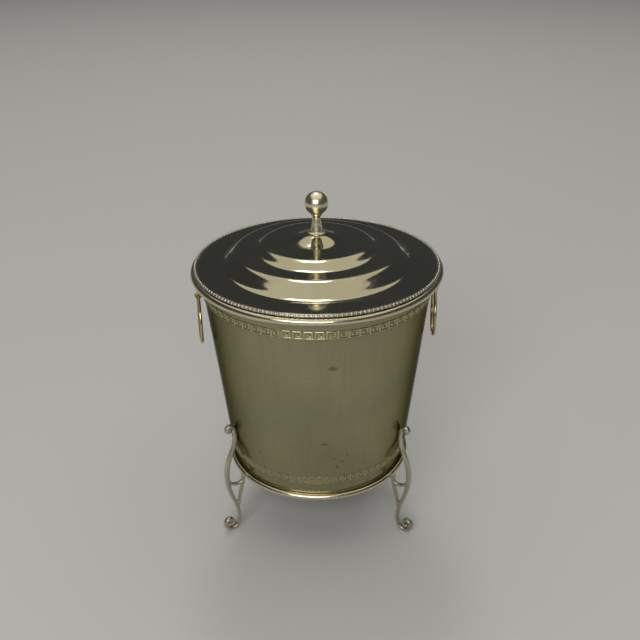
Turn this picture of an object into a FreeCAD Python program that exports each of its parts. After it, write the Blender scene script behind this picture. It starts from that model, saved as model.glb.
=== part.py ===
import FreeCAD, Part
import math
import os
from FreeCAD import Vector

# Lidded champagne bucket on three cast scroll legs, with a drop ring handle on each side.
# Millimetres, +Z up. The origin is on the bucket's axis, at floor level, and -Y is the front.
# An azimuth is counted from the front, in degrees, positive towards +X.

# ---- driving dimensions ----
RIM_Z = 380.0            # plane of the bead row on the lid's edge
SHEET = 0.9              # brass sheet of the bucket and the lid
GAP = 0.4                # clearance between pieces that move on each other
FIT = 0.05               # clearance between pieces that are soldered, cast or pressed together
BORE_PLAY = 0.1          # radial clearance of a screw or stud in its hole

BODY_TOP_R = 148.0       # outside radius of the bucket's cone just under its rim roll
BODY_TOP_Z = RIM_Z - 15.0
BODY_LOW_R = 117.9       # outside radius at the bottom edge
BODY_LOW_Z = RIM_Z - 286.0

ROLL_R = 156.3           # centre line of the rolled rim
ROLL_Z = RIM_Z - 7.2
ROLL_TUBE = 4.7

BASE_RING_R = 120.6
BASE_RING_Z = RIM_Z - 282.0
BASE_RING_TUBE = 4.2
FLOOR_RISE = 10.0        # the bucket's floor stands this far above the bottom edge

BEAD_RING_R = 155.0
BEAD_R = 2.1             # the beads themselves are relief on this ring

COLLAR_R = 144.6         # locating collar under the lid
COLLAR_DROP = 17.0
COLLAR_TOP = 0.7         # height of the collar's top edge above the bead row

BALL_R = 14.9
BALL_Z = RIM_Z + 78.0
STUD_R = 3.0
KNOB_FLANGE = 3.4        # height of the knob's base flange
NECK_FOOT_R = 7.8
COLLAR_FOOT_R = 6.4      # radius of the circle where the ball sits on the neck

LEG_AZIMUTHS = {"leg_front_left": -60.0, "leg_front_right": 60.0, "leg_back": 180.0}
LEG_THICKNESS = 6.8
SCREW_R = 1.5
SCREW_HEAD_R = 3.0
SCREW_Z = RIM_Z - 233.0

HANDLE_R = 154.0         # distance of the rings' hinge line from the axis
HANDLE_Z = RIM_Z - 43.5
HANDLE_TURN = 4.5        # the line between the handles is turned this far from X towards Y
HANDLE_TOE = 7.0         # each ring hangs turned this far towards the front
HANDLE_ROD = 2.1
HANDLE_RING_R = 32.0     # centre line of the ring
EYE_HOLE_R = HANDLE_ROD + GAP
EYE_R = 5.4
EYE_WIDTH = 4.6
SHANK_R = 2.3
PLATE_R = 9.0            # backplate behind each eye
PLATE_BOSS_R = 4.4

# Top surface of the lid, from the knob to the edge: (radius, height above the bead row).
LID_PROFILE = [
    (3.2, 39.0), (8.0, 38.9), (10.8, 38.6), (20.0, 35.7), (28.0, 32.6), (36.0, 30.7), (44.0, 29.8),
    (56.0, 29.0), (64.0, 28.3), (69.0, 26.6), (74.0, 23.2), (79.0, 20.5), (84.0, 19.7), (92.0, 19.1),
    (100.0, 18.4), (103.5, 17.4), (109.0, 13.2), (114.5, 8.4), (118.5, 4.9), (122.0, 3.3), (128.0, 2.6),
    (138.0, 2.1), (148.0, 1.5), (152.8, 1.1),
]


def point(r, z):
    """A point of the front-to-back half plane in which profiles are drawn."""
    return Vector(r, 0, z)


def outline(points):
    """Straight edges through the points, as a closed face."""
    return Part.Face(Part.makePolygon(points + points[:1]))


def turned(face):
    """The solid that a profile sweeps about the bucket's axis."""
    return face.revolve(Vector(0, 0, 0), Vector(0, 0, 1), 360)


def torus(ring_r, tube_r, z):
    return Part.makeTorus(ring_r, tube_r, Vector(0, 0, z))


def at_azimuth(shape, azimuth):
    """Turn a shape drawn towards +X so that it points along the azimuth."""
    copy = shape.copy()
    copy.rotate(Vector(0, 0, 0), Vector(0, 0, 1), azimuth - 90.0)
    return copy


def smooth(points):
    """A curve through the points."""
    curve = Part.BSplineCurve()
    curve.interpolate(points)
    return curve


def body_radius(z):
    """Outside radius of the bucket's cone at height z."""
    taper = (BODY_TOP_R - BODY_LOW_R) / (BODY_TOP_Z - BODY_LOW_Z)
    return BODY_LOW_R + taper * (z - BODY_LOW_Z)


def cone(offset, low, high):
    """Solid cone that follows the bucket's outside, moved out by offset, between two heights."""
    r_low = body_radius(low) + offset
    r_high = body_radius(high) + offset
    return Part.makeCone(r_low, r_high, high - low, Vector(0, 0, low))


# ---- bucket ----
def bucket_wall():
    """Cone of sheet that flares out under the rim and meets the roll."""
    flare_low = BODY_TOP_Z + 1.0
    r_in = body_radius(flare_low)
    cone_band = outline([
        point(BODY_LOW_R, BODY_LOW_Z), point(r_in, flare_low),
        point(r_in - SHEET, flare_low), point(BODY_LOW_R - SHEET, BODY_LOW_Z),
    ])
    flare = outline([
        point(r_in - SHEET, flare_low), point(r_in, flare_low),
        point(ROLL_R - ROLL_TUBE + 0.5, ROLL_Z - 1.2), point(ROLL_R - ROLL_TUBE + 0.1, ROLL_Z + 0.2),
    ])
    wall = turned(cone_band).fuse(turned(flare)).cut(torus(ROLL_R, ROLL_TUBE + FIT, ROLL_Z))
    for side in (-1, 1):
        wall = wall.cut(shank_bore(side))
    for azimuth in LEG_AZIMUTHS.values():
        wall = wall.cut(at_azimuth(screw_shaft(SCREW_R + BORE_PLAY), azimuth))
    return wall


def rim_roll():
    """Hoop of sheet rolled round the wire."""
    return torus(ROLL_R, ROLL_TUBE, ROLL_Z).cut(torus(ROLL_R, ROLL_TUBE - SHEET, ROLL_Z))


def rim_wire():
    """Steel wire inside the rim roll."""
    return torus(ROLL_R, ROLL_TUBE - SHEET - 0.2, ROLL_Z)


def bucket_floor():
    """Disc with a turned-down flange, soldered inside the bottom edge."""
    top = BODY_LOW_Z + FLOOR_RISE
    disc = cone(-SHEET - FIT, BODY_LOW_Z, top)
    hollow = cone(-2 * SHEET - FIT, BODY_LOW_Z - 1.0, top - SHEET)
    return disc.cut(hollow)


def base_ring():
    """Rounded ring soldered round the outside of the bottom edge."""
    ring = torus(BASE_RING_R, BASE_RING_TUBE, BASE_RING_Z)
    return ring.cut(cone(FIT, BODY_LOW_Z - 10.0, BASE_RING_Z + 20.0))


# ---- lid ----
def lid_dome():
    """Spun sheet: three steps down from the knob to a broad flat brim."""
    top = [point(r, RIM_Z + z) for r, z in LID_PROFILE]
    under = [v - Vector(0, 0, SHEET) for v in top]
    edges = [smooth(top).toShape(), Part.makeLine(top[-1], under[-1]),
             smooth(list(reversed(under))).toShape(), Part.makeLine(under[0], top[0])]
    return turned(Part.Face(Part.Wire(edges)))


def lid_bead_ring():
    """Round wire soldered along the lid's edge."""
    return torus(BEAD_RING_R, BEAD_R, RIM_Z)


def lid_collar():
    """Band under the lid that drops inside the rim and keeps the lid centred."""
    top = RIM_Z + COLLAR_TOP
    band = outline([
        point(COLLAR_R, top), point(COLLAR_R, RIM_Z - COLLAR_DROP),
        point(COLLAR_R - SHEET, RIM_Z - COLLAR_DROP), point(COLLAR_R - SHEET, top),
    ])
    return turned(band).cut(lid_core(-SHEET))


def lid_core(offset):
    """Solid whose underside is the lid's profile moved up by offset, used to trim what meets the lid."""
    top = [point(r, RIM_Z + z + offset) for r, z in LID_PROFILE]
    high = RIM_Z + 60.0
    edges = [smooth(top).toShape(), Part.makeLine(top[-1], point(top[-1].x, high)),
             Part.makeLine(point(top[-1].x, high), point(top[0].x, high)),
             Part.makeLine(point(top[0].x, high), top[0])]
    return turned(Part.Face(Part.Wire(edges)))


# ---- knob ----
KNOB_SEAT_Z = RIM_Z + LID_PROFILE[2][1] + 0.1


def knob_base():
    """Round flange that stands on the middle of the lid."""
    z = KNOB_SEAT_Z
    profile = outline([
        point(STUD_R + BORE_PLAY, z + KNOB_FLANGE), point(STUD_R + BORE_PLAY, z + 1.1),
        point(8.6, z + 0.9), point(10.6, z), point(11.2, z + 0.7), point(11.0, z + 1.5),
        point(9.8, z + 2.1), point(8.5, z + 2.2), point(8.1, z + KNOB_FLANGE),
    ])
    return turned(profile)


def knob_stem():
    """Flared neck with a collar under the ball."""
    low = KNOB_SEAT_Z + KNOB_FLANGE
    ball_foot = BALL_Z - math.sqrt(BALL_R ** 2 - COLLAR_FOOT_R ** 2)
    side = smooth([
        point(NECK_FOOT_R, low), point(7.3, low + 2.4), point(6.3, low + 6.6),
        point(5.6, low + 12.0), point(5.4, ball_foot - 3.2), point(6.0, ball_foot - 2.4),
    ]).toShape()
    bore = STUD_R + BORE_PLAY
    corners = [point(6.0, ball_foot - 2.4), point(7.3, ball_foot - 1.6), point(7.3, ball_foot - 0.4),
               point(COLLAR_FOOT_R, ball_foot), point(bore, ball_foot), point(bore, low),
               point(NECK_FOOT_R, low)]
    profile = Part.Face(Part.Wire([side] + Part.makePolygon(corners).Edges))
    return turned(profile).cut(Part.makeSphere(BALL_R + FIT, Vector(0, 0, BALL_Z)))


def knob_ball():
    """Ball finial with a blind threaded hole for the stud."""
    ball = Part.makeSphere(BALL_R, Vector(0, 0, BALL_Z))
    return ball.cut(Part.makeCylinder(STUD_R + 0.05, 14.0, Vector(0, 0, BALL_Z - BALL_R - 1.0)))


LID_UNDER_Z = RIM_Z + LID_PROFILE[0][1] - SHEET


def knob_stud():
    """Threaded stud from the ball down through the neck and the lid."""
    low = LID_UNDER_Z - 8.0
    return Part.makeCylinder(STUD_R, BALL_Z - 4.0 - low, Vector(0, 0, low))


def washer(inner, outer, thick, z):
    return Part.makeCylinder(outer, thick, Vector(0, 0, z)).cut(
        Part.makeCylinder(inner, thick, Vector(0, 0, z)))


def hexagon_nut(inner, flats, thick, z):
    """Nut about the Z axis, given its size across flats."""
    corner = flats / math.sqrt(3)
    points = []
    for i in range(6):
        angle = math.radians(60 * i)
        points.append(Vector(corner * math.cos(angle), corner * math.sin(angle), z))
    return outline(points).extrude(Vector(0, 0, thick)).cut(
        Part.makeCylinder(inner, thick, Vector(0, 0, z)))


def knob_washer():
    return washer(STUD_R + BORE_PLAY, 8.0, 1.2, LID_UNDER_Z - 1.3)


def knob_nut():
    return hexagon_nut(STUD_R + 0.05, 10.0, 4.0, LID_UNDER_Z - 5.4)


# ---- legs ----
# Centre lines in the radial plane: (radius, height above the bead row, half width).
STEM = [
    (128.8, -215.0, 2.0), (127.2, -221.0, 2.4), (126.6, -229.0, 2.6), (128.9, -240.0, 2.8),
    (133.4, -251.0, 3.0), (137.6, -261.0, 3.2), (140.7, -272.0, 3.3), (142.2, -284.0, 3.3),
    (142.1, -295.0, 3.2), (140.6, -307.0, 3.0), (137.8, -319.0, 2.7), (133.8, -331.0, 2.5),
    (130.2, -343.0, 2.3), (128.3, -353.0, 2.1), (127.9, -361.5, 2.1), (129.2, -368.6, 2.1),
    (133.0, -374.8, 2.3), (138.6, -377.7, 2.6), (144.4, -376.2, 2.4), (148.6, -371.2, 2.3),
    (149.0, -365.4, 2.2), (145.2, -361.2, 2.1), (140.3, -361.8, 2.0), (137.7, -365.8, 1.9),
    (139.2, -370.0, 1.8), (142.8, -370.2, 1.6),
]
TOP_CURL = [(127.2, -224.0, 2.2), (127.6, -217.4, 2.2), (130.0, -211.8, 2.2), (134.6, -209.6, 2.2)]
TOP_BULB = (136.0, -213.9, 5.8)
FOOT_EYE = (142.8, -370.2, 2.4)
INNER = [
    (119.0, -283.0, 2.6), (119.1, -292.0, 2.5), (119.9, -302.0, 2.3), (121.8, -312.0, 2.1),
    (124.3, -322.0, 2.0), (126.6, -332.0, 1.9), (128.6, -342.0, 1.8),
]
LINK = [
    (142.2, -293.0, 1.9), (138.2, -300.0, 1.9), (132.2, -304.2, 1.9), (125.8, -304.6, 1.9),
    (120.2, -301.8, 1.9),
]


def ribbon(stations):
    """Flat bar of varying width along a centre line, as thick as the leg."""
    left = []
    right = []
    for i, (r, z, half) in enumerate(stations):
        r0, z0, _ = stations[max(i - 1, 0)]
        r1, z1, _ = stations[min(i + 1, len(stations) - 1)]
        length = math.hypot(r1 - r0, z1 - z0)
        side = Vector(-(z1 - z0) / length, 0, (r1 - r0) / length) * half
        left.append(point(r, RIM_Z + z) + side)
        right.append(point(r, RIM_Z + z) - side)
    right.reverse()
    edges = [smooth(left).toShape(), Part.makeLine(left[-1], right[0]),
             smooth(right).toShape(), Part.makeLine(right[-1], left[0])]
    face = Part.Face(Part.Wire(edges))
    bar = face.extrude(Vector(0, LEG_THICKNESS, 0))
    bar.translate(Vector(0, -LEG_THICKNESS / 2, 0))
    return bar


def round_boss(r, z, radius):
    """Short disc across the leg's thickness."""
    base = Vector(r, -LEG_THICKNESS / 2, RIM_Z + z)
    return Part.makeCylinder(radius, LEG_THICKNESS, base, Vector(0, 1, 0))


def screw_shaft(radius):
    """Radial shaft through the wall into the leg, drawn towards +X."""
    start = body_radius(SCREW_Z) - 1.8
    return Part.makeCylinder(radius, 5.0, Vector(start, 0, SCREW_Z), Vector(1, 0, 0))


def leg():
    """Cast scroll leg, drawn towards +X: seated on the wall and under the base ring."""
    body = ribbon(STEM).fuse([ribbon(TOP_CURL), ribbon(INNER), ribbon(LINK),
                              round_boss(*TOP_BULB), round_boss(*FOOT_EYE)])
    body = body.cut(cone(FIT, BODY_LOW_Z - FIT, BODY_TOP_Z))
    body = body.cut(torus(BASE_RING_R, BASE_RING_TUBE + FIT, BASE_RING_Z))
    body = body.cut(Part.makeBox(400, 400, 20, Vector(-200, -200, -20)))
    return body.cut(screw_shaft(SCREW_R))


def leg_screw():
    """Round-headed screw, put in from inside the bucket."""
    inside = body_radius(SCREW_Z) - SHEET
    head = Part.makeCylinder(SCREW_HEAD_R, 2.4, Vector(inside - 2.0, 0, SCREW_Z), Vector(1, 0, 0))
    shaft_end = Vector(inside - 0.2, 0, SCREW_Z)
    shaft = Part.makeCylinder(SCREW_R - 0.03, SHEET + 2.6, shaft_end, Vector(1, 0, 0))
    head = head.common(cone(-SHEET - FIT, SCREW_Z - 10.0, SCREW_Z + 10.0))
    return head.fuse(shaft)


# ---- handles ----
def to_side(shape, side):
    """Place a shape drawn at the +X side on the given side, +1 right or -1 left."""
    copy = shape.copy()
    if side < 0:
        copy = copy.mirror(Vector(0, 0, 0), Vector(1, 0, 0))
    copy.rotate(Vector(0, 0, 0), Vector(0, 0, 1), HANDLE_TURN)
    return copy


def shank_bore(side):
    """Hole in the wall for the eye's shank."""
    start = body_radius(HANDLE_Z) - 6.0
    bore = Part.makeCylinder(SHANK_R + BORE_PLAY, 12.0, Vector(start, 0, HANDLE_Z), Vector(1, 0, 0))
    return to_side(bore, side)


def toed(shape):
    """Turn a shape about the upright through the hinge line, so that its front leans inwards."""
    copy = shape.copy()
    copy.rotate(Vector(HANDLE_R, 0, HANDLE_Z), Vector(0, 0, 1), -HANDLE_TOE)
    return copy


def handle_ring():
    """Round ring that hangs through the eye."""
    centre = Vector(HANDLE_R, 0, HANDLE_Z - HANDLE_RING_R)
    return toed(Part.makeTorus(HANDLE_RING_R, HANDLE_ROD, centre, Vector(1, 0, 0)))


def handle_eye():
    """Eye that carries the ring, with a shank through the wall."""
    base = Vector(HANDLE_R, -EYE_WIDTH / 2, HANDLE_Z)
    eye = Part.makeCylinder(EYE_R, EYE_WIDTH, base, Vector(0, 1, 0))
    start = body_radius(HANDLE_Z) - 5.6
    length = HANDLE_R - EYE_R + 1.5 - start
    shank = Part.makeCylinder(SHANK_R, length, Vector(start, 0, HANDLE_Z), Vector(1, 0, 0))
    hole_end = Vector(HANDLE_R, -EYE_WIDTH, HANDLE_Z)
    hole = Part.makeCylinder(EYE_HOLE_R, 2 * EYE_WIDTH, hole_end, Vector(0, 1, 0))
    return toed(eye).fuse(shank).cut(toed(hole))


def handle_plate():
    """Round backplate, hollowed to sit on the wall."""
    r = body_radius(HANDLE_Z)
    plate = Part.makeCylinder(PLATE_R, 3.2, Vector(r - 1.2, 0, HANDLE_Z), Vector(1, 0, 0))
    boss = Part.makeCylinder(PLATE_BOSS_R, 2.4, Vector(r + 1.0, 0, HANDLE_Z), Vector(1, 0, 0))
    body = plate.fuse(boss).cut(cone(FIT, HANDLE_Z - 40.0, BODY_TOP_Z + 10.0))
    return body.cut(Part.makeCylinder(SHANK_R + FIT, 12.0, Vector(r - 4.0, 0, HANDLE_Z), Vector(1, 0, 0)))


def handle_nut():
    """Nut on the shank, inside the bucket."""
    nut = hexagon_nut(SHANK_R + FIT, 8.0, 2.6, 0.0)
    nut.rotate(Vector(0, 0, 0), Vector(0, 1, 0), 90)
    inside = body_radius(HANDLE_Z) - SHEET
    nut.translate(Vector(inside - 3.6, 0, HANDLE_Z))
    return nut


def write(node, shape):
    shape.exportStep("parts/" + node + ".step")
    print(node, shape.ShapeType, len(shape.Solids), round(shape.Volume, 1), shape.isValid())


def main():
    os.makedirs("parts", exist_ok=True)
    write("bucket_wall", bucket_wall())
    write("rim_roll", rim_roll())
    write("rim_wire", rim_wire())
    write("bucket_floor", bucket_floor())
    write("base_ring", base_ring())
    write("lid_dome", lid_dome())
    write("lid_bead_ring", lid_bead_ring())
    write("lid_collar", lid_collar())
    write("knob_base", knob_base())
    write("knob_stem", knob_stem())
    write("knob_ball", knob_ball())
    write("knob_stud", knob_stud())
    write("knob_washer", knob_washer())
    write("knob_nut", knob_nut())
    one_leg = leg()
    screws = []
    for node, azimuth in LEG_AZIMUTHS.items():
        write(node, at_azimuth(one_leg, azimuth))
        screws.append(at_azimuth(leg_screw(), azimuth))
    write("leg_screws", Part.makeCompound(screws))
    for name, side in (("left", -1), ("right", 1)):
        write("handle_ring_" + name, to_side(handle_ring(), side))
        write("handle_eye_" + name, to_side(handle_eye(), side))
        write("handle_plate_" + name, to_side(handle_plate(), side))
        write("handle_nut_" + name, to_side(handle_nut(), side))


main()
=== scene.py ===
import math

import bpy
import numpy as np
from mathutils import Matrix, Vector


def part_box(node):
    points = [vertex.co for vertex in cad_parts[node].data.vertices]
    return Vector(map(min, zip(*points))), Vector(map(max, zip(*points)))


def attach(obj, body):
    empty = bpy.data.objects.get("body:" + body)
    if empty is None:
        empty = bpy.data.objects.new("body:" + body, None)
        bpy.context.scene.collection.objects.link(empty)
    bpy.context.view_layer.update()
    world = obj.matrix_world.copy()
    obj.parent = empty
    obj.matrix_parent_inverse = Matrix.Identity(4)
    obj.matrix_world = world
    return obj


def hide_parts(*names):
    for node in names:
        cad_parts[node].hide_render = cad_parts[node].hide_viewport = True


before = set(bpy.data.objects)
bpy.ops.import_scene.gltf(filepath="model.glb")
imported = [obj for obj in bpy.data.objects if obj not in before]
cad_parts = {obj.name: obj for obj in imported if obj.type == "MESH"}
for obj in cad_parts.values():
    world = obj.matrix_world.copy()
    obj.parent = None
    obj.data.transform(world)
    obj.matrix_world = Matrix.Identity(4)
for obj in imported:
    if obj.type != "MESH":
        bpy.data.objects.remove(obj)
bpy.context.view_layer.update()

MM = 0.001

# Lidded champagne bucket on three cast scroll legs, with a drop ring handle on each side.
# Shapes are worked out in millimetres, with heights from the floor, and made in metres by add_piece.

# ---- places read from the frame, in millimetres ----
BEADS_LOW, BEADS_HIGH = (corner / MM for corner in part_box("lid_bead_ring"))
WALL_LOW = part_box("bucket_wall")[0] / MM
ROLL_LOW, ROLL_HIGH = (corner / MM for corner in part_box("rim_roll"))
BASE_LOW, BASE_HIGH = (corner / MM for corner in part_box("base_ring"))
BALL_LOW, BALL_HIGH = (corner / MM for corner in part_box("knob_ball"))
FLANGE_LOW, FLANGE_HIGH = (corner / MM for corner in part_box("knob_base"))
STEM_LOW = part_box("knob_stem")[0] / MM
PLATE_LOW, PLATE_HIGH = (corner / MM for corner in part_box("handle_plate_right"))

BEAD_R = (BEADS_HIGH.z - BEADS_LOW.z) / 2
RIM_Z = BEADS_LOW.z + BEAD_R
BEAD_RING_R = BEADS_HIGH.x - BEAD_R
BEAD_COUNT = 180
SHEET = 0.9              # brass sheet of the bucket and the lid

ROLL_TUBE = (ROLL_HIGH.z - ROLL_LOW.z) / 2
ROLL_R = ROLL_HIGH.x - ROLL_TUBE
ROLL_Z = ROLL_HIGH.z - ROLL_TUBE
BODY_TOP_R = 148.0
BODY_TOP_Z = RIM_Z - 15.0
BODY_LOW_R = 117.9
BODY_LOW_Z = WALL_LOW.z
BASE_TUBE = (BASE_HIGH.z - BASE_LOW.z) / 2
BASE_Z = BASE_LOW.z + BASE_TUBE
BASE_R = BASE_HIGH.x - BASE_TUBE
BALL_R = (BALL_HIGH.z - BALL_LOW.z) / 2
BALL_Z = BALL_LOW.z + BALL_R
STUD_BORE_R = 3.2        # bore of the knob's flange and neck
HANDLE_R = 154.0         # distance of the rings' hinge line from the axis
HANDLE_Z = (PLATE_LOW.z + PLATE_HIGH.z) / 2
HANDLE_RING_R = 32.0
HANDLE_TURN = math.radians(4.5)    # the line between the handles is turned this far from X towards Y
HANDLE_TOE = math.radians(7.0)     # each ring hangs turned this far towards the front

# Top surface of the lid, from the knob to the edge: (radius, height above the bead row).
LID_PROFILE = [
    (0.0, 39.0), (8.0, 38.9), (10.8, 38.6), (20.0, 35.7), (28.0, 32.6), (36.0, 30.7), (44.0, 29.8),
    (56.0, 29.0), (64.0, 28.3), (69.0, 26.6), (74.0, 23.2), (79.0, 20.5), (84.0, 19.7), (92.0, 19.1),
    (100.0, 18.4), (103.5, 17.4), (109.0, 13.2), (114.5, 8.4), (118.5, 4.9), (122.0, 3.3), (128.0, 2.6),
    (138.0, 2.1), (148.0, 1.5), (152.8, 1.1),
]


# ---- shape helpers ----
def body_radius(z):
    """Outside radius of the bucket's cone at height z."""
    taper = (BODY_TOP_R - BODY_LOW_R) / (BODY_TOP_Z - BODY_LOW_Z)
    return BODY_LOW_R + taper * (z - BODY_LOW_Z)


def curve_through(points, steps):
    """Smooth curve through the points, with the given number of steps between neighbours."""
    p = np.array(points, float)
    h = np.linalg.norm(np.diff(p, axis=0), axis=1)
    n = len(p)
    system = np.eye(n)
    target = np.zeros_like(p)
    for i in range(1, n - 1):
        system[i, i - 1:i + 2] = h[i - 1], 2 * (h[i - 1] + h[i]), h[i]
        target[i] = 3 * ((p[i + 1] - p[i]) / h[i] - (p[i] - p[i - 1]) / h[i - 1])
    c = np.linalg.solve(system, target)
    out = []
    for i in range(n - 1):
        b = (p[i + 1] - p[i]) / h[i] - h[i] * (2 * c[i] + c[i + 1]) / 3
        d = (c[i + 1] - c[i]) / (3 * h[i])
        for x in np.linspace(0, h[i], steps, endpoint=False):
            out.append(p[i] + b * x + c[i] * x ** 2 + d * x ** 3)
    out.append(p[-1])
    return [tuple(q) for q in out]


def arc(r, z, radius, start, end, steps):
    """Points of a circular arc in the (radius, height) plane; angles in degrees."""
    return [(r + radius * math.cos(a), z + radius * math.sin(a))
            for a in np.radians(np.linspace(start, end, steps))]


def add_piece(name, verts, faces, material, body, replaces=()):
    """Make a smooth mesh piece from points in millimetres, and hand it to the frame."""
    mesh = bpy.data.meshes.new(name)
    mesh.from_pydata([tuple(v) for v in np.asarray(verts) * MM], [], faces)
    mesh.shade_smooth()
    mesh.materials.append(material)
    piece = bpy.data.objects.new(name, mesh)
    bpy.context.scene.collection.objects.link(piece)
    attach(piece, body)
    if replaces:
        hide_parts(*replaces)
    return piece


def grid_faces(columns, rows, closed_rows):
    """Quads of a grid that wraps round its columns, and round its rows too when closed_rows."""
    faces = []
    for i in range(columns):
        j = (i + 1) % columns
        for k in range(rows if closed_rows else rows - 1):
            m = (k + 1) % rows
            faces.append((i * rows + k, j * rows + k, j * rows + m, i * rows + m))
    return faces


def revolved(profile, columns):
    """Closed profile swept about the axis, drawn anticlockwise in the (radius, height) plane."""
    r, z = np.array(profile, float).T
    angle = np.linspace(0, math.tau, columns, endpoint=False)[:, None]
    verts = np.stack([r * np.sin(angle), -r * np.cos(angle), z + 0 * angle], axis=-1)
    return verts.reshape(-1, 3), grid_faces(columns, len(profile), True)


def capped(profile, columns):
    """Open profile from axis to axis swept about the axis, closed by a fan at each end."""
    inner = profile[1:-1]
    r, z = np.array(inner, float).T
    angle = np.linspace(0, math.tau, columns, endpoint=False)[:, None]
    verts = np.stack([r * np.sin(angle), -r * np.cos(angle), z + 0 * angle], axis=-1).reshape(-1, 3)
    faces = grid_faces(columns, len(inner), False)
    verts = np.vstack([verts, [[0, 0, profile[0][1]], [0, 0, profile[-1][1]]]])
    first, last = len(verts) - 2, len(verts) - 1
    rows = len(inner)
    for i in range(columns):
        j = (i + 1) % columns
        faces.append((first, j * rows, i * rows))
        faces.append((last, i * rows + rows - 1, j * rows + rows - 1))
    return verts, faces


def swept(path, sections, sides=24, power=2.0, closed=False):
    """Tube along a path in the XZ plane; a section is (half width in the plane, half thickness along Y)."""
    p = np.array(path, float)
    if closed:
        tangent = np.roll(p, -1, axis=0) - np.roll(p, 1, axis=0)
    else:
        tangent = np.gradient(p, axis=0)
    tangent /= np.linalg.norm(tangent, axis=1)[:, None]
    normal = np.stack([-tangent[:, 2], 0 * tangent[:, 0], tangent[:, 0]], axis=1)
    angle = np.linspace(0, math.tau, sides, endpoint=False)
    across = np.sign(np.cos(angle)) * np.abs(np.cos(angle)) ** (2 / power)
    along = np.sign(np.sin(angle)) * np.abs(np.sin(angle)) ** (2 / power)
    size = np.array(sections, float)
    verts = (p[:, None, :] + normal[:, None, :] * (size[:, 0:1] * across)[:, :, None]
             + np.array([0, 1.0, 0]) * (size[:, 1:2] * along)[:, :, None]).reshape(-1, 3)
    faces = grid_faces(len(p), sides, True)
    if not closed:
        faces = faces[:-sides]
        faces += [tuple(range(sides))[::-1], tuple(range((len(p) - 1) * sides, len(p) * sides))]
    return verts, faces


def joined(parts):
    """One vertex and face list out of several."""
    verts, faces, start = [], [], 0
    for part_verts, part_faces in parts:
        verts.append(np.asarray(part_verts))
        faces += [tuple(i + start for i in face) for face in part_faces]
        start += len(part_verts)
    return np.vstack(verts), faces


def fused(name, verts, faces, voxel, smoothing):
    """Merge overlapping closed shapes into one skin, as in a casting."""
    mesh = bpy.data.meshes.new(name)
    mesh.from_pydata([tuple(v) for v in verts], [], faces)
    work = bpy.data.objects.new(name, mesh)
    bpy.context.scene.collection.objects.link(work)
    remesh = work.modifiers.new("skin", "REMESH")
    remesh.mode = "VOXEL"
    remesh.voxel_size = voxel
    soften = work.modifiers.new("soften", "SMOOTH")
    soften.factor = 0.5
    soften.iterations = smoothing
    done = bpy.data.meshes.new_from_object(work.evaluated_get(bpy.context.evaluated_depsgraph_get()))
    out_verts = np.array([v.co for v in done.vertices])
    out_faces = [tuple(f.vertices) for f in done.polygons]
    bpy.data.objects.remove(work)
    bpy.data.meshes.remove(done)
    return out_verts, out_faces


def turned_to(verts, azimuth):
    """Turn points drawn towards +X so that they face the azimuth, counted from the front towards +X."""
    a = math.radians(azimuth - 90.0)
    turn = np.array([[math.cos(a), -math.sin(a), 0], [math.sin(a), math.cos(a), 0], [0, 0, 1]])
    return np.asarray(verts) @ turn.T


# ---- materials ----
class Nodes:
    """Short calls for building a node material."""

    def __init__(self, name):
        self.material = bpy.data.materials.new(name)
        self.material.use_nodes = True
        self.tree = self.material.node_tree
        self.shader = self.tree.nodes["Principled BSDF"]
        self.place = self.add("ShaderNodeTexCoord").outputs["Object"]

    def add(self, kind, **values):
        node = self.tree.nodes.new(kind)
        for key, value in values.items():
            setattr(node, key, value)
        return node

    def link(self, value, socket):
        if isinstance(value, bpy.types.NodeSocket):
            self.tree.links.new(value, socket)
        else:
            socket.default_value = value

    def stretched(self, scale):
        node = self.add("ShaderNodeMapping")
        self.link(self.place, node.inputs["Vector"])
        node.inputs["Scale"].default_value = scale
        return node.outputs[0]

    def noise(self, scale, detail=4.0, roughness=0.55, stretch=None, distortion=0.0):
        node = self.add("ShaderNodeTexNoise")
        self.link(self.stretched(stretch) if stretch else self.place, node.inputs["Vector"])
        node.inputs["Scale"].default_value = scale
        node.inputs["Detail"].default_value = detail
        node.inputs["Roughness"].default_value = roughness
        node.inputs["Distortion"].default_value = distortion
        return node.outputs["Fac"]

    def math(self, operation, a, b=0.0, clamp=False):
        node = self.add("ShaderNodeMath", operation=operation, use_clamp=clamp)
        self.link(a, node.inputs[0])
        self.link(b, node.inputs[1])
        return node.outputs[0]

    def fit(self, value, low, high, to_low=0.0, to_high=1.0):
        node = self.add("ShaderNodeMapRange", interpolation_type="SMOOTHSTEP")
        self.link(value, node.inputs["Value"])
        node.inputs["From Min"].default_value = low
        node.inputs["From Max"].default_value = high
        node.inputs["To Min"].default_value = to_low
        node.inputs["To Max"].default_value = to_high
        return node.outputs["Result"]

    def mix(self, factor, a, b, blend="MIX"):
        node = self.add("ShaderNodeMix", data_type="RGBA", blend_type=blend)
        self.link(factor, node.inputs["Factor"])
        self.link(a, node.inputs["A"])
        self.link(b, node.inputs["B"])
        return node.outputs["Result"]

    def bump(self, height, distance, normal=None):
        node = self.add("ShaderNodeBump")
        node.inputs["Distance"].default_value = distance
        self.link(height, node.inputs["Height"])
        if normal is not None:
            self.link(normal, node.inputs["Normal"])
        return node.outputs[0]

    def attribute(self, name):
        return self.add("ShaderNodeAttribute", attribute_name=name).outputs["Fac"]

    def finish(self, color, roughness, normal=None, metallic=1.0, edge=1.0):
        self.link(color, self.shader.inputs["Base Color"])
        self.link(roughness, self.shader.inputs["Roughness"])
        self.shader.inputs["Metallic"].default_value = metallic
        self.shader.inputs["Specular Tint"].default_value = (edge, edge, edge, 1)
        if normal is not None:
            self.link(normal, self.shader.inputs["Normal"])
        return self.material


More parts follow.
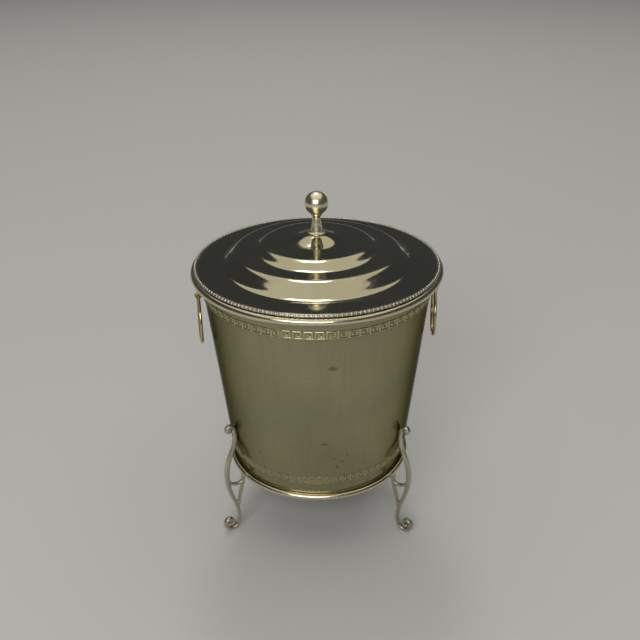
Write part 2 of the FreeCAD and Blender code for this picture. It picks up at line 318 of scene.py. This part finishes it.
def scratches(n, scale, thin):
    """Fine hairline marks in scattered directions, 1 on a mark."""
    total = None
    for across, along, up in ((1.0, 0.05, 0.3), (0.08, 1.0, 0.2), (1.0, 1.0, 0.06)):
        stretch = (scale * across, scale * along, scale * up)
        lines = n.noise(1.0, detail=1.0, stretch=stretch, distortion=0.6)
        mark = n.fit(n.math("ABSOLUTE", n.math("SUBTRACT", lines, 0.5)), 0.0, thin, 1.0, 0.0)
        total = mark if total is None else n.math("MAXIMUM", total, mark)
    return total


def aged_brass(name, bright, dull, stain, rough_low, rough_high, grain=None, marks=0.004,
               relief=None, spots=(), wear=1.0, edge=1.0):
    """Brass with clouds of tarnish, hairline scratches and, given a grain, upright brushing.

    The bump's depth is ten times marks, in millimetres. The relief attribute is above 0 in hollows, which get
    painted shade, and below 0 on the strokes that stand out, which get a painted highlight. Wear scales
    specks and scratches; edge is the tint at a grazing angle.
    """
    n = Nodes(name)
    clouds = n.noise(9.0, detail=6.0, roughness=0.6)
    fine = n.noise(70.0, detail=5.0, roughness=0.65)
    color = n.mix(n.fit(clouds, 0.36, 0.66), (*bright, 1), (*dull, 1))
    speck = n.math("MULTIPLY", n.fit(fine, 0.58, 0.74), n.fit(n.noise(22.0), 0.42, 0.62))
    color = n.mix(n.math("MULTIPLY", speck, 0.55 * wear), color, (*stain, 1))
    rough = n.fit(n.math("ADD", n.math("MULTIPLY", clouds, 0.6), n.math("MULTIPLY", fine, 0.4)),
                  0.35, 0.65, rough_low, rough_high)
    height = n.math("MULTIPLY", n.noise(2.4, detail=1.0), 30.0)
    if grain is not None:
        streaks = n.noise(1.0, detail=5.0, roughness=0.7, stretch=grain)
        color = n.mix(n.fit(streaks, 0.42, 0.68, 0.0, 0.22), color, (*stain, 1))
        rough = n.math("ADD", rough, n.fit(streaks, 0.3, 0.7, -0.02, 0.03))
        height = n.math("ADD", height, n.math("MULTIPLY", streaks, 0.12))
    hair = n.math("MULTIPLY", scratches(n, 260.0, 0.012), n.fit(n.noise(14.0), 0.45, 0.65))
    color = n.mix(n.math("MULTIPLY", hair, 0.25 * wear), color, (*bright, 1))
    rough = n.math("ADD", rough, n.math("MULTIPLY", hair, 0.08))
    height = n.math("SUBTRACT", height, n.math("MULTIPLY", hair, 0.5))
    for spot in spots:
        color = n.mix(stain_spot(n, *spot), color, tuple(0.35 * c for c in stain) + (1,))
    if relief is not None:
        # Painted shade darkens the ground between the key strokes and makes it rougher; a painted highlight
        # lightens the strokes themselves.
        level = n.attribute(relief)
        hollow_painted_shade = n.math("MAXIMUM", level, 0.0)
        stroke_painted_highlight = n.math("MAXIMUM", n.math("MULTIPLY", level, -1.0), 0.0)
        color = n.mix(n.math("MULTIPLY", hollow_painted_shade, 0.8), color, tuple(0.5 * c for c in stain) + (1,))
        color = n.mix(n.math("MULTIPLY", stroke_painted_highlight, 0.8, clamp=True), color, (0.66, 0.58, 0.34, 1))
        rough = n.math("ADD", rough, n.math("MULTIPLY", hollow_painted_shade, 0.3))
    return n.finish(color, rough, n.bump(height, marks * MM * 10), edge=edge)


def stain_spot(n, azimuth, z, width, height, strength):
    """Soft dark spot on the bucket's wall, in degrees and millimetres."""
    a = math.radians(azimuth)
    r = body_radius(z)
    node = n.add("ShaderNodeMapping", vector_type="TEXTURE")
    n.link(n.place, node.inputs["Vector"])
    node.inputs["Location"].default_value = (r * math.sin(a) * MM, -r * math.cos(a) * MM, z * MM)
    node.inputs["Rotation"].default_value = (0, 0, a)
    node.inputs["Scale"].default_value = (width * MM, 0.02, height * MM)
    distance = n.add("ShaderNodeVectorMath", operation="LENGTH")
    n.link(node.outputs[0], distance.inputs[0])
    fray = n.fit(n.noise(160.0, detail=3.0), 0.3, 0.7, -0.35, 0.35)
    ragged = n.math("ADD", distance.outputs["Value"], fray)
    return n.fit(ragged, 0.35, 1.0, strength, 0.0)


# Stains on the wall: (azimuth in degrees, height, half width, half height, strength).
BODY_SPOTS = [
    (9.6, 302.4, 9.0, 4.0, 0.55), (4.8, 186.4, 7.0, 1.8, 0.7), (10.5, 161.0, 2.2, 1.8, 0.5),
    (12.2, 147.0, 2.0, 3.2, 0.55), (15.3, 155.5, 2.0, 3.6, 0.55), (18.2, 164.0, 2.0, 3.2, 0.45),
    (-36.0, 154.8, 2.6, 2.2, 0.6), (-3.0, 290.0, 8.0, 1.6, 0.25), (140.0, 250.0, 3.0, 2.2, 0.5),
    (-150.0, 300.0, 2.6, 3.4, 0.4), (70.0, 190.0, 2.0, 6.0, 0.3),
]
# Colours are bright, dull and stained metal, then the least and greatest roughness.
BODY_BRASS = aged_brass(
    "bucket_brass", (0.365, 0.345, 0.21), (0.32, 0.305, 0.19), (0.25, 0.235, 0.14), 0.16, 0.22,
    grain=(110.0, 110.0, 2.0), marks=0.003, relief="relief", spots=BODY_SPOTS, wear=0.45, edge=0.2)
RIM_BRASS = aged_brass(
    "rim_brass", (0.72, 0.67, 0.50), (0.64, 0.59, 0.43), (0.52, 0.37, 0.21), 0.14, 0.26, marks=0.004)
LID_BRASS = aged_brass(
    "lid_brass", (0.54, 0.51, 0.38), (0.48, 0.455, 0.345), (0.38, 0.36, 0.27), 0.05, 0.11, marks=0.002)
BEAD_METAL = aged_brass(
    "bead_metal", (0.66, 0.64, 0.58), (0.52, 0.50, 0.44), (0.25, 0.23, 0.18), 0.18, 0.32)
KNOB_BRASS = aged_brass(
    "knob_brass", (0.86, 0.80, 0.62), (0.78, 0.71, 0.52), (0.54, 0.43, 0.24), 0.24, 0.34, marks=0.003)
CAST_BRASS = aged_brass(
    "cast_leg", (0.58, 0.55, 0.45), (0.46, 0.43, 0.33), (0.24, 0.20, 0.11), 0.26, 0.44, marks=0.02)
HANDLE_BRASS = aged_brass(
    "handle_brass", (0.64, 0.54, 0.33), (0.52, 0.42, 0.23), (0.32, 0.24, 0.11), 0.12, 0.26)
FIXING_BRASS = aged_brass(
    "fixing_brass", (0.46, 0.38, 0.21), (0.36, 0.30, 0.18), (0.20, 0.16, 0.09), 0.34, 0.5)
STEEL = aged_brass(
    "steel_wire", (0.42, 0.42, 0.42), (0.34, 0.33, 0.32), (0.20, 0.16, 0.13), 0.3, 0.45)


# ---- bucket ----
KEY_PITCH_COUNT = 70     # repeats of the key pattern round the wall
KEY_COLUMNS = 20         # mesh columns for one repeat
KEY_HEIGHT = 0.7         # how far the pattern stands out
KEY_STROKE = 0.055       # half width of a stroke, as a part of the repeat
# Strokes of one repeat, as (part of the repeat, part of the band's height).
KEY_LINES = [
    [(0.0, 0.08), (1.0, 0.08)],
    [(0.12, 0.08), (0.12, 0.90), (0.84, 0.90), (0.84, 0.34), (0.42, 0.34), (0.42, 0.62)],
]
UPPER_KEY = (RIM_Z - 35.5, RIM_Z - 24.5)
LOWER_KEY = (RIM_Z - 260.5, RIM_Z - 249.5)
BORDER = 1.6             # the fine line above and below each band


def stroke_distance(u, v, start, end):
    (x0, y0), (x1, y1) = start, end
    length = (x1 - x0) ** 2 + (y1 - y0) ** 2
    t = np.clip(((u - x0) * (x1 - x0) + (v - y0) * (y1 - y0)) / length, 0, 1)
    return np.hypot(u - x0 - t * (x1 - x0), v - y0 - t * (y1 - y0))


def key_relief(u, z):
    """How far the wall stands out at (repeats round the wall, height), from 0 to 1."""
    height = np.zeros_like(u * z)
    for low, high in (UPPER_KEY, LOWER_KEY):
        v = (z - low) / (high - low)
        nearest = np.full_like(height, 9.0)
        for line in KEY_LINES:
            for start, end in zip(line, line[1:]):
                for shift in (-1, 0, 1):
                    nearest = np.minimum(nearest, stroke_distance(u % 1 + shift, v, start, end))
        height = np.maximum(height, np.clip((2.0 * KEY_STROKE - nearest) / KEY_STROKE, 0, 1) ** 0.7)
        for edge in (low - BORDER, high + BORDER):
            height = np.maximum(height, 0.3 * np.clip(1.2 - np.abs(z - edge) / 0.8, 0, 1))
    return height


def wall_rows():
    """Heights of the mesh rows up the outside: close together in the bands."""
    coarse = list(np.arange(BODY_LOW_Z, BODY_TOP_Z + 0.1, 9.0))
    fine = []
    for low, high in (UPPER_KEY, LOWER_KEY):
        fine += list(np.arange(low - 4.0, high + 4.1, 0.5))
    keep = [z for z in coarse if all(abs(z - f) > 1.0 for f in fine)]
    return sorted(keep + fine)


def make_bucket_wall():
    columns = KEY_PITCH_COUNT * KEY_COLUMNS
    outside = [(body_radius(z), z) for z in wall_rows()]
    flare = (body_radius(BODY_TOP_Z) + 0.9, BODY_TOP_Z + 1.8)
    lip = curve_through([outside[-1], flare, (ROLL_R - 4.0, ROLL_Z - 3.2)], 5)
    inside_top = (ROLL_R - ROLL_TUBE + 0.3, ROLL_Z)
    inside = [inside_top, (body_radius(BODY_TOP_Z) - SHEET, BODY_TOP_Z)]
    inside += [(body_radius(z) - SHEET, z) for z in np.linspace(BODY_TOP_Z - 20, BODY_LOW_Z, 12)]
    profile = outside + lip[1:] + inside
    verts, faces = revolved(profile, columns)
    verts = verts.reshape(columns, len(profile), 3)
    rows = len(outside)
    u = (np.arange(columns) / KEY_COLUMNS)[:, None]
    z = np.array([p[1] for p in outside])[None, :]
    relief = key_relief(u, z)
    azimuth = np.linspace(0, math.tau, columns, endpoint=False)[:, None]
    # Slow, shallow waves in the sheet, which fade out towards both ends.
    dents = 0.10 * np.sin(3 * azimuth + z / 60.0) + 0.07 * np.sin(5 * azimuth - z / 35.0)
    dents = dents * np.clip((z - BODY_LOW_Z - 12) / 40, 0, 1) * np.clip((BODY_TOP_Z - 25 - z) / 30, 0, 1)
    outward = np.stack([np.sin(azimuth), -np.cos(azimuth), 0 * azimuth], axis=-1)
    verts[:, :rows] += outward * (KEY_HEIGHT * relief + dents)[:, :, None]
    wall = add_piece("bucket_shell", verts.reshape(-1, 3), faces, BODY_BRASS, "root",
                     ["bucket_wall"])
    # The relief attribute carries painted shade on the band's ground between the strokes and a painted
    # highlight on the strokes.
    band = np.zeros_like(relief)
    for low, high in (UPPER_KEY, LOWER_KEY):
        band = np.maximum(band, np.clip((z - low + 3.0) / 1.0, 0, 1) * np.clip((high + 3.0 - z) / 1.0, 0, 1))
    level = np.zeros((columns, len(profile)))
    level[:, :rows] = band * (0.25 - relief)
    layer = wall.data.attributes.new("relief", "FLOAT", "POINT")
    layer.data.foreach_set("value", level.reshape(-1).astype(np.float32))


def make_rim_roll():
    profile = arc(ROLL_R, ROLL_Z, ROLL_TUBE, 0, 350, 36)
    verts, faces = revolved(profile, 360)
    add_piece("bucket_rim_roll", verts, faces, RIM_BRASS, "root", ["rim_roll"])


def make_base_ring():
    inner = BODY_LOW_R - 0.3
    profile = arc(BASE_R, BASE_Z, BASE_TUBE, -130, 130, 28) + [(inner, BASE_Z + 3.0), (inner, BASE_Z - 3.0)]
    verts, faces = revolved(profile, 300)
    add_piece("base_ring_rounded", verts, faces, RIM_BRASS, "root", ["base_ring"])


# ---- lid ----
def make_lid():
    top = [(r, RIM_Z + z) for r, z in curve_through(LID_PROFILE, 9)]
    under = [(r, z - SHEET) for r, z in top[::-1]]
    profile = [(0.0, top[0][1])] + top[1:] + under[:-1] + [(0.0, under[-1][1])]
    verts, faces = capped([(r, z) for r, z in profile][::-1], 360)
    r = np.hypot(verts[:, 0], verts[:, 1])
    azimuth = np.arctan2(verts[:, 0], -verts[:, 1])
    wave = 0.05 * np.sin(2 * azimuth + 0.7) + 0.035 * np.sin(5 * azimuth + r / 20.0)
    verts[:, 2] += wave * np.clip(r / 60.0, 0, 1) * np.clip((152.0 - r) / 20.0, 0, 1)
    add_piece("lid_shell", verts, faces, LID_BRASS, "lid", ["lid_dome"])


def bead(centre, sides=12, rings=7):
    """Small ball as vertex and face lists."""
    profile = [(BEAD_R * math.sin(a), -BEAD_R * math.cos(a)) for a in np.linspace(0, math.pi, rings)]
    verts, faces = capped(profile, sides)
    return verts + centre, faces


def make_bead_row():
    core = revolved(arc(BEAD_RING_R, RIM_Z - 0.2, BEAD_R * 0.72, 0, 330, 12), 360)
    parts = [core]
    for i in range(BEAD_COUNT):
        a = math.tau * i / BEAD_COUNT
        parts.append(bead(np.array([BEAD_RING_R * math.sin(a), -BEAD_RING_R * math.cos(a), RIM_Z])))
    verts, faces = joined(parts)
    add_piece("lid_bead_row", verts, faces, BEAD_METAL, "lid", ["lid_bead_ring"])


# ---- knob ----
def make_knob():
    low = FLANGE_LOW.z
    flange = [(STUD_BORE_R, low + 1.1), (8.6, low + 0.9), (10.4, low)] + arc(10.4, low + 0.8, 0.8, -60, 80, 7)
    flange += [(9.4, low + 2.0), (8.7, low + 2.1), (8.3, low + 2.5), (8.0, FLANGE_HIGH.z)]
    flange.append((STUD_BORE_R, FLANGE_HIGH.z))
    verts, faces = revolved(flange, 128)
    add_piece("knob_flange", verts, faces, KNOB_BRASS, "lid", ["knob_base"])
    low = STEM_LOW.z
    foot = BALL_Z - math.sqrt(BALL_R ** 2 - 6.4 ** 2)
    neck = curve_through([(7.8, low), (7.3, low + 2.4), (6.3, low + 6.6), (5.6, low + 12.0),
                          (5.4, foot - 3.2), (6.0, foot - 2.3)], 8)
    collar = arc(6.3, foot - 1.0, 1.1, -80, 80, 10)
    bore = [(5.6, foot + 0.3), (STUD_BORE_R, foot + 0.3)]
    verts, faces = revolved([(STUD_BORE_R, low)] + neck + collar + bore, 128)
    add_piece("knob_neck", verts, faces, KNOB_BRASS, "lid", ["knob_stem"])
    profile = [(BALL_R * math.sin(a), BALL_Z - BALL_R * math.cos(a)) for a in np.linspace(0, math.pi, 72)]
    verts, faces = capped(profile, 128)
    add_piece("knob_ball_polished", verts, faces, KNOB_BRASS, "lid", ["knob_ball"])


# ---- legs ----
# Centre lines in the radial plane: (radius, height above the bead row, half width); bosses end in a radius.
STEM = [
    (129.4, -215.6, 2.2), (127.5, -221.4, 2.5), (126.9, -229.0, 2.6), (128.9, -240.0, 2.8),
    (133.4, -251.0, 3.0), (137.6, -261.0, 3.2), (140.7, -272.0, 3.3), (142.2, -284.0, 3.3),
    (142.1, -295.0, 3.2), (140.6, -307.0, 3.0), (137.8, -319.0, 2.7), (133.8, -331.0, 2.5),
    (130.2, -343.0, 2.3), (128.3, -353.0, 2.1), (127.9, -361.5, 2.1), (129.2, -368.6, 2.1),
    (133.0, -374.8, 2.3), (138.6, -377.5, 2.6), (144.4, -376.0, 2.4), (148.6, -371.2, 2.3),
    (149.0, -365.4, 2.2), (145.2, -361.2, 2.1), (140.3, -361.8, 2.0), (137.7, -365.8, 1.9),
    (139.2, -370.0, 1.8), (142.8, -370.2, 2.0),
]
TOP_CURL = [
    (127.4, -222.0, 2.4), (127.8, -216.2, 2.3), (130.3, -211.4, 2.4), (134.6, -209.7, 3.0),
    (137.0, -213.4, 4.4),
]
INNER = [
    (119.3, -287.2, 2.6), (119.2, -292.0, 2.5), (119.9, -302.0, 2.3), (121.8, -312.0, 2.1),
    (124.3, -322.0, 2.0), (126.6, -332.0, 1.9), (128.6, -342.0, 1.8),
]
LINK = [
    (142.2, -293.0, 1.9), (138.2, -300.0, 1.9), (132.2, -304.2, 1.9), (125.8, -304.6, 1.9),
    (120.2, -301.8, 1.9),
]
TOP_BULB = (136.0, -213.9, 5.7)
FOOT_EYE = (142.6, -370.0, 2.8)
LEG_HALF = 3.4
LEGS = {"leg_front_left": -60.0, "leg_front_right": 60.0, "leg_back": 180.0}


def member(stations, half_thick=LEG_HALF):
    stations = curve_through(stations, 8)
    path = [(r, 0.0, RIM_Z + z) for r, z, _ in stations]
    sizes = [(half, half_thick) for _, _, half in stations]
    return swept(path, sizes, sides=32, power=3.4)


def disc(r, z, radius, half_thick):
    """Rounded disc lying in the radial plane."""
    turns = np.linspace(0.001, math.pi - 0.001, 17)
    profile = [(radius * math.sin(a) ** 0.6, -half_thick * math.cos(a)) for a in turns]
    verts, faces = capped(profile, 40)
    turned = np.stack([verts[:, 0] + r, verts[:, 2], verts[:, 1] + RIM_Z + z], axis=1)
    return turned, [face[::-1] for face in faces]


def make_legs():
    verts, faces = joined([
        member(STEM), member(TOP_CURL), member(INNER, 3.2), member(LINK, 2.6),
        disc(*TOP_BULB, 3.9), disc(*FOOT_EYE, 3.7),
    ])
    verts, faces = fused("leg_skin", verts, faces, 0.55, 6)
    verts[:, 2] = np.maximum(verts[:, 2], 0.0)
    for node, azimuth in LEGS.items():
        add_piece(node + "_cast", turned_to(verts, azimuth), faces, CAST_BRASS, "root", [node])


# ---- handles ----
RING_THIN = 1.95         # radius of the ring's rod at the top
RING_THICK = 2.5         # and at the bottom
EYE_HOLE_R = 2.5
EYE_TUBE = 1.15


def placed_handle(verts, side, toed):
    """From the hinge line's own frame (X outwards, Z up) to the left or right side."""
    turn = -HANDLE_TOE if toed else 0.0
    c, s = math.cos(turn), math.sin(turn)
    x = verts[:, 0] * c - verts[:, 1] * s + HANDLE_R
    y = verts[:, 0] * s + verts[:, 1] * c
    return turned_handle(np.stack([x * side, y, verts[:, 2] + HANDLE_Z], axis=1))


def turned_handle(verts):
    """Turn points about the axis, as the line between the two handles is turned."""
    c, s = math.cos(HANDLE_TURN), math.sin(HANDLE_TURN)
    x = verts[:, 0] * c - verts[:, 1] * s
    y = verts[:, 0] * s + verts[:, 1] * c
    return np.stack([x, y, verts[:, 2]], axis=1)


def mirrored(faces, side):
    return faces if side > 0 else [face[::-1] for face in faces]


def make_ring(side, name):
    turns = np.linspace(0, math.tau, 160, endpoint=False)
    path = [(HANDLE_RING_R * math.sin(t), 0.0, HANDLE_RING_R * (math.cos(t) - 1)) for t in turns]
    sizes = []
    for t in turns:
        rod = RING_THIN + (RING_THICK - RING_THIN) * (0.5 - 0.5 * math.cos(t)) ** 2
        sizes.append((rod, rod))
    verts, faces = swept(path, sizes, sides=20, closed=True)
    verts = np.stack([verts[:, 1], verts[:, 0], verts[:, 2]], axis=1)
    faces = [face[::-1] for face in faces]
    add_piece("ring_" + name + "_polished", placed_handle(verts, side, True), mirrored(faces, side),
              HANDLE_BRASS, "ring_" + name, ["handle_ring_" + name])


def make_handle_mount(side, name):
    """Eye with its shank, and a stepped round backplate."""
    wall = body_radius(HANDLE_Z) - HANDLE_R
    radius = EYE_HOLE_R + EYE_TUBE
    turns = np.linspace(0, math.tau, 64, endpoint=False)
    path = [(radius * math.cos(t), 0.0, radius * math.sin(t)) for t in turns]
    eye = swept(path, [(EYE_TUBE, 2.1)] * 64, sides=20, closed=True)
    eye = (placed_handle(eye[0], side, True), eye[1])
    stations = [(wall - 0.5, 0, 0, 3.2), (wall + 1.2, 0, 0, 2.9), (-radius + 0.3, 0, 0, 1.9)]
    shank_line = curve_through(stations, 6)
    shank = swept([p[:3] for p in shank_line], [(p[3], p[3]) for p in shank_line], sides=24)
    shank = (placed_handle(shank[0], side, False), shank[1])
    verts, faces = joined([eye, shank])
    add_piece("handle_eye_" + name + "_formed", verts, mirrored(faces, side), HANDLE_BRASS, "root",
              ["handle_eye_" + name])
    profile = [(0.0, -1.0), (9.2, -1.0)] + arc(8.4, 0.7, 0.8, -20, 90, 6) + arc(7.2, 1.1, 0.5, 30, 150, 6)
    profile += [(6.2, 0.9), (5.2, 1.2)] + arc(4.4, 2.0, 0.7, 0, 90, 5) + [(0.0, 2.7)]
    verts, faces = capped(profile, 64)
    tilt = math.atan2(BODY_TOP_R - BODY_LOW_R, BODY_TOP_Z - BODY_LOW_Z)
    x = verts[:, 2] * math.cos(tilt) + verts[:, 1] * math.sin(tilt) + body_radius(HANDLE_Z)
    z = -verts[:, 2] * math.sin(tilt) + verts[:, 1] * math.cos(tilt) + HANDLE_Z
    verts = turned_handle(np.stack([x * side, verts[:, 0], z], axis=1))
    add_piece("handle_plate_" + name + "_turned", verts, mirrored(faces, side), HANDLE_BRASS, "root",
              ["handle_plate_" + name])


# ---- carried-over pieces ----
CARRIED = {
    "bucket_floor": BODY_BRASS, "rim_wire": STEEL, "lid_collar": LID_BRASS, "knob_stud": STEEL,
    "knob_washer": FIXING_BRASS, "knob_nut": FIXING_BRASS, "leg_screws": FIXING_BRASS,
    "handle_nut_left": FIXING_BRASS, "handle_nut_right": FIXING_BRASS,
}


def dress_carried_nodes():
    for node, material in CARRIED.items():
        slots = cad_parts[node].data.materials
        slots.clear()
        slots.append(material)


# ---- stage ----
def plain_material(name, color, roughness):
    n = Nodes(name)
    return n.finish((*color, 1), roughness, metallic=0.0)


def make_floor():
    mesh = bpy.data.meshes.new("floor")
    half = 7.0
    corners = [(-half, -half, 0), (half, -half, 0), (half, half, 0), (-half, half, 0)]
    mesh.from_pydata(corners, [], [(0, 1, 2, 3)])
    mesh.materials.append(plain_material("pale_floor", (0.62, 0.63, 0.65), 0.8))
    floor = bpy.data.objects.new("floor", mesh)
    bpy.context.scene.collection.objects.link(floor)


def soft_light(name, place, target, width, height, power, color=(1, 1, 1)):
    data = bpy.data.lights.new(name, "AREA")
    data.shape = "RECTANGLE"
    data.size = width
    data.size_y = height
    data.energy = power
    data.color = color
    light = bpy.data.objects.new(name, data)
    bpy.context.scene.collection.objects.link(light)
    light.location = place
    light.rotation_euler = (Vector(target) - Vector(place)).to_track_quat("-Z", "Y").to_euler()


def make_lights():
    world = bpy.data.worlds.new("studio")
    bpy.context.scene.world = world
    world.use_nodes = True
    world.node_tree.nodes["Background"].inputs["Color"].default_value = (0.055, 0.057, 0.063, 1)
    # A broad soft panel far overhead, a smaller bright one below it, and a fill from the front.
    soft_light("panel", (0.0, 1.4, 5.6), (0.0, 1.4, 0.0), 8.6, 8.8, 175.0, (1.0, 0.93, 0.76))
    soft_light("core", (-0.35, 3.0, 5.5), (-0.35, 3.0, 0.0), 1.3, 2.2, 50.0, (1.0, 0.99, 0.96))
    soft_light("front", (-0.6, -3.4, 2.4), (0.0, 0.0, 0.25), 3.0, 2.0, 80.0, (1.0, 0.97, 0.92))


def make_camera():
    """Camera at the photograph's height and distance, a little to one side and rolled by half a degree."""
    lens_pixels, frame_pixels, sensor = 870.0, 640.0, 36.0
    elevation, azimuth, roll = math.radians(27.36), math.radians(1.45), math.radians(0.5)
    distance, aim_height, aim_side = 1.150, (RIM_Z - 84.8) * MM, 0.0032
    data = bpy.data.cameras.new("camera")
    data.sensor_width = sensor
    data.lens = lens_pixels * sensor / frame_pixels
    camera = bpy.data.objects.new("camera", data)
    bpy.context.scene.collection.objects.link(camera)
    level = math.cos(elevation)
    back = Vector((level * math.sin(azimuth), -level * math.cos(azimuth), math.sin(elevation)))
    right = Vector((math.cos(azimuth), math.sin(azimuth), 0.0))
    aim = right * aim_side + Vector((0, 0, aim_height))
    camera.location = aim + back * distance
    camera.rotation_euler = (-back).to_track_quat("-Z", "Y").to_euler()
    camera.rotation_euler.rotate_axis("Z", -roll)
    bpy.context.scene.camera = camera
    bpy.context.scene.view_settings.view_transform = "Standard"


make_camera()
make_bucket_wall()
make_rim_roll()
make_base_ring()
make_lid()
make_bead_row()
make_knob()
make_legs()
for handle_name, handle_side in (("left", -1), ("right", 1)):
    make_ring(handle_side, handle_name)
    make_handle_mount(handle_side, handle_name)
dress_carried_nodes()
make_floor()
make_lights()
